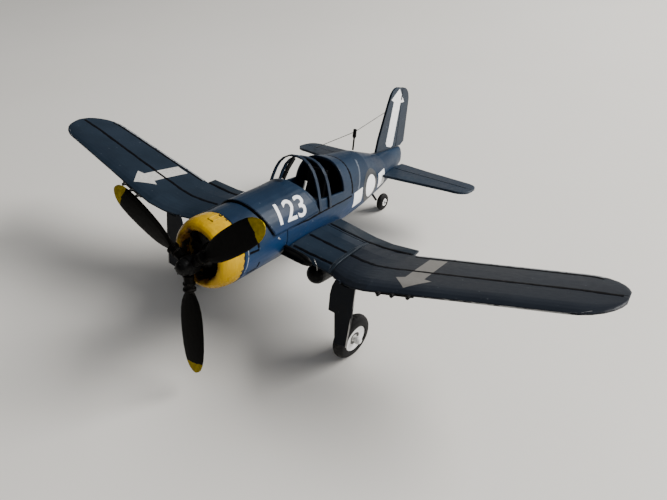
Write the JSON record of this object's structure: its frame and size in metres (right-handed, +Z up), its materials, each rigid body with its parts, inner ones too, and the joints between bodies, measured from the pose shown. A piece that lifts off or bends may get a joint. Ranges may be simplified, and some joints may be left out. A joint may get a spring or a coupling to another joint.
{
  "type": "propeller plane model",
  "caption": "Tinplate display model of a gull-winged single-engine propeller plane with an open cockpit, a propeller that spins and wheels that roll.",
  "frame": {"origin": "on the floor under the centre of the model's bounding box", "axes": "+X to the pilot's left along the span, +Y from the nose to the tail, +Z up from the floor"},
  "size_m": [0.2394, 0.1566, 0.0707],
  "materials": {
    "navy": "satin navy blue brushed enamel",
    "slate": "satin blue-black brushed enamel",
    "yellow": "glossy brushed enamel",
    "black": "satin brushed enamel",
    "steel": "bare wire",
    "white": "satin enamel",
    "tyre": "matt",
    "dark": "matt"
  },
  "bodies": {
    "airframe": {"fuselage_shell": "navy", "cowling": "navy", "top_panel": "navy", "cowl_ring": "yellow", "propeller_shaft": "steel", "engine_crankcase": "dark", "firewall": "black", "engine_cylinders": "dark", "cockpit_floor": "black", "pilot_seat": "black", "instrument_panel": "black", "control_stick": "steel", "windshield_hoop": "navy", "canopy_hoop": "navy", "windshield_post": "black", "wing_inner_front_left": "slate", "wing_inner_rear_left": "slate", "wing_outer_front_left": "slate", "wing_outer_rear_left": "slate", "wing_fold_strip_left": "slate", "flap_left": "slate", "wing_intake_left": "black", "gun_bar_left": "black", "wing_inner_front_right": "slate", "wing_inner_rear_right": "slate", "wing_outer_front_right": "slate", "wing_outer_rear_right": "slate", "wing_fold_strip_right": "slate", "flap_right": "slate", "wing_intake_right": "black", "gun_bar_right": "black", "fin": "navy", "rudder": "navy", "stabilizer_left": "navy", "elevator_left": "navy", "stabilizer_right": "navy", "elevator_right": "navy", "antenna_mast": "black", "antenna_wire_fin": "dark", "antenna_wire_tail": "dark", "axle_left": "white", "gear_leg_left": "black", "gear_door_left": "black", "axle_right": "white", "gear_leg_right": "black", "gear_door_right": "black", "tail_axle": "steel", "tail_strut": "black", "store_left": "black", "store_right": "black"},
    "propeller": {"propeller_hub": "black", "blade_1": "black", "blade_2": "black", "blade_3": "black"},
    "left_wheel": {"main_tyre_left": "tyre", "wheel_disc_left": "white"},
    "right_wheel": {"main_tyre_right": "tyre", "wheel_disc_right": "white"},
    "tail_wheel": {"tail_tyre": "tyre", "tail_wheel_disc": "white"}
  },
  "joints": [
    {"name": "propeller_spin", "type": "hinge", "parent": "airframe", "child": "propeller", "pos_m": [0, -0.06911, 0.04738], "axis": [0, 0.9655, -0.2605], "continuous": true},
    {"name": "left_wheel_roll", "type": "hinge", "parent": "airframe", "child": "left_wheel", "pos_m": [0.0403, -0.03588, 0.0089], "axis": [0.9923, -0.113, -0.0508], "continuous": true},
    {"name": "right_wheel_roll", "type": "hinge", "parent": "airframe", "child": "right_wheel", "pos_m": [-0.0403, -0.03588, 0.0089], "axis": [0.9923, 0.113, 0.0508], "continuous": true},
    {"name": "tail_wheel_roll", "type": "hinge", "parent": "airframe", "child": "tail_wheel", "pos_m": [0, 0.05436, 0.0044], "axis": [1, 0, 0], "continuous": true}
  ]
}
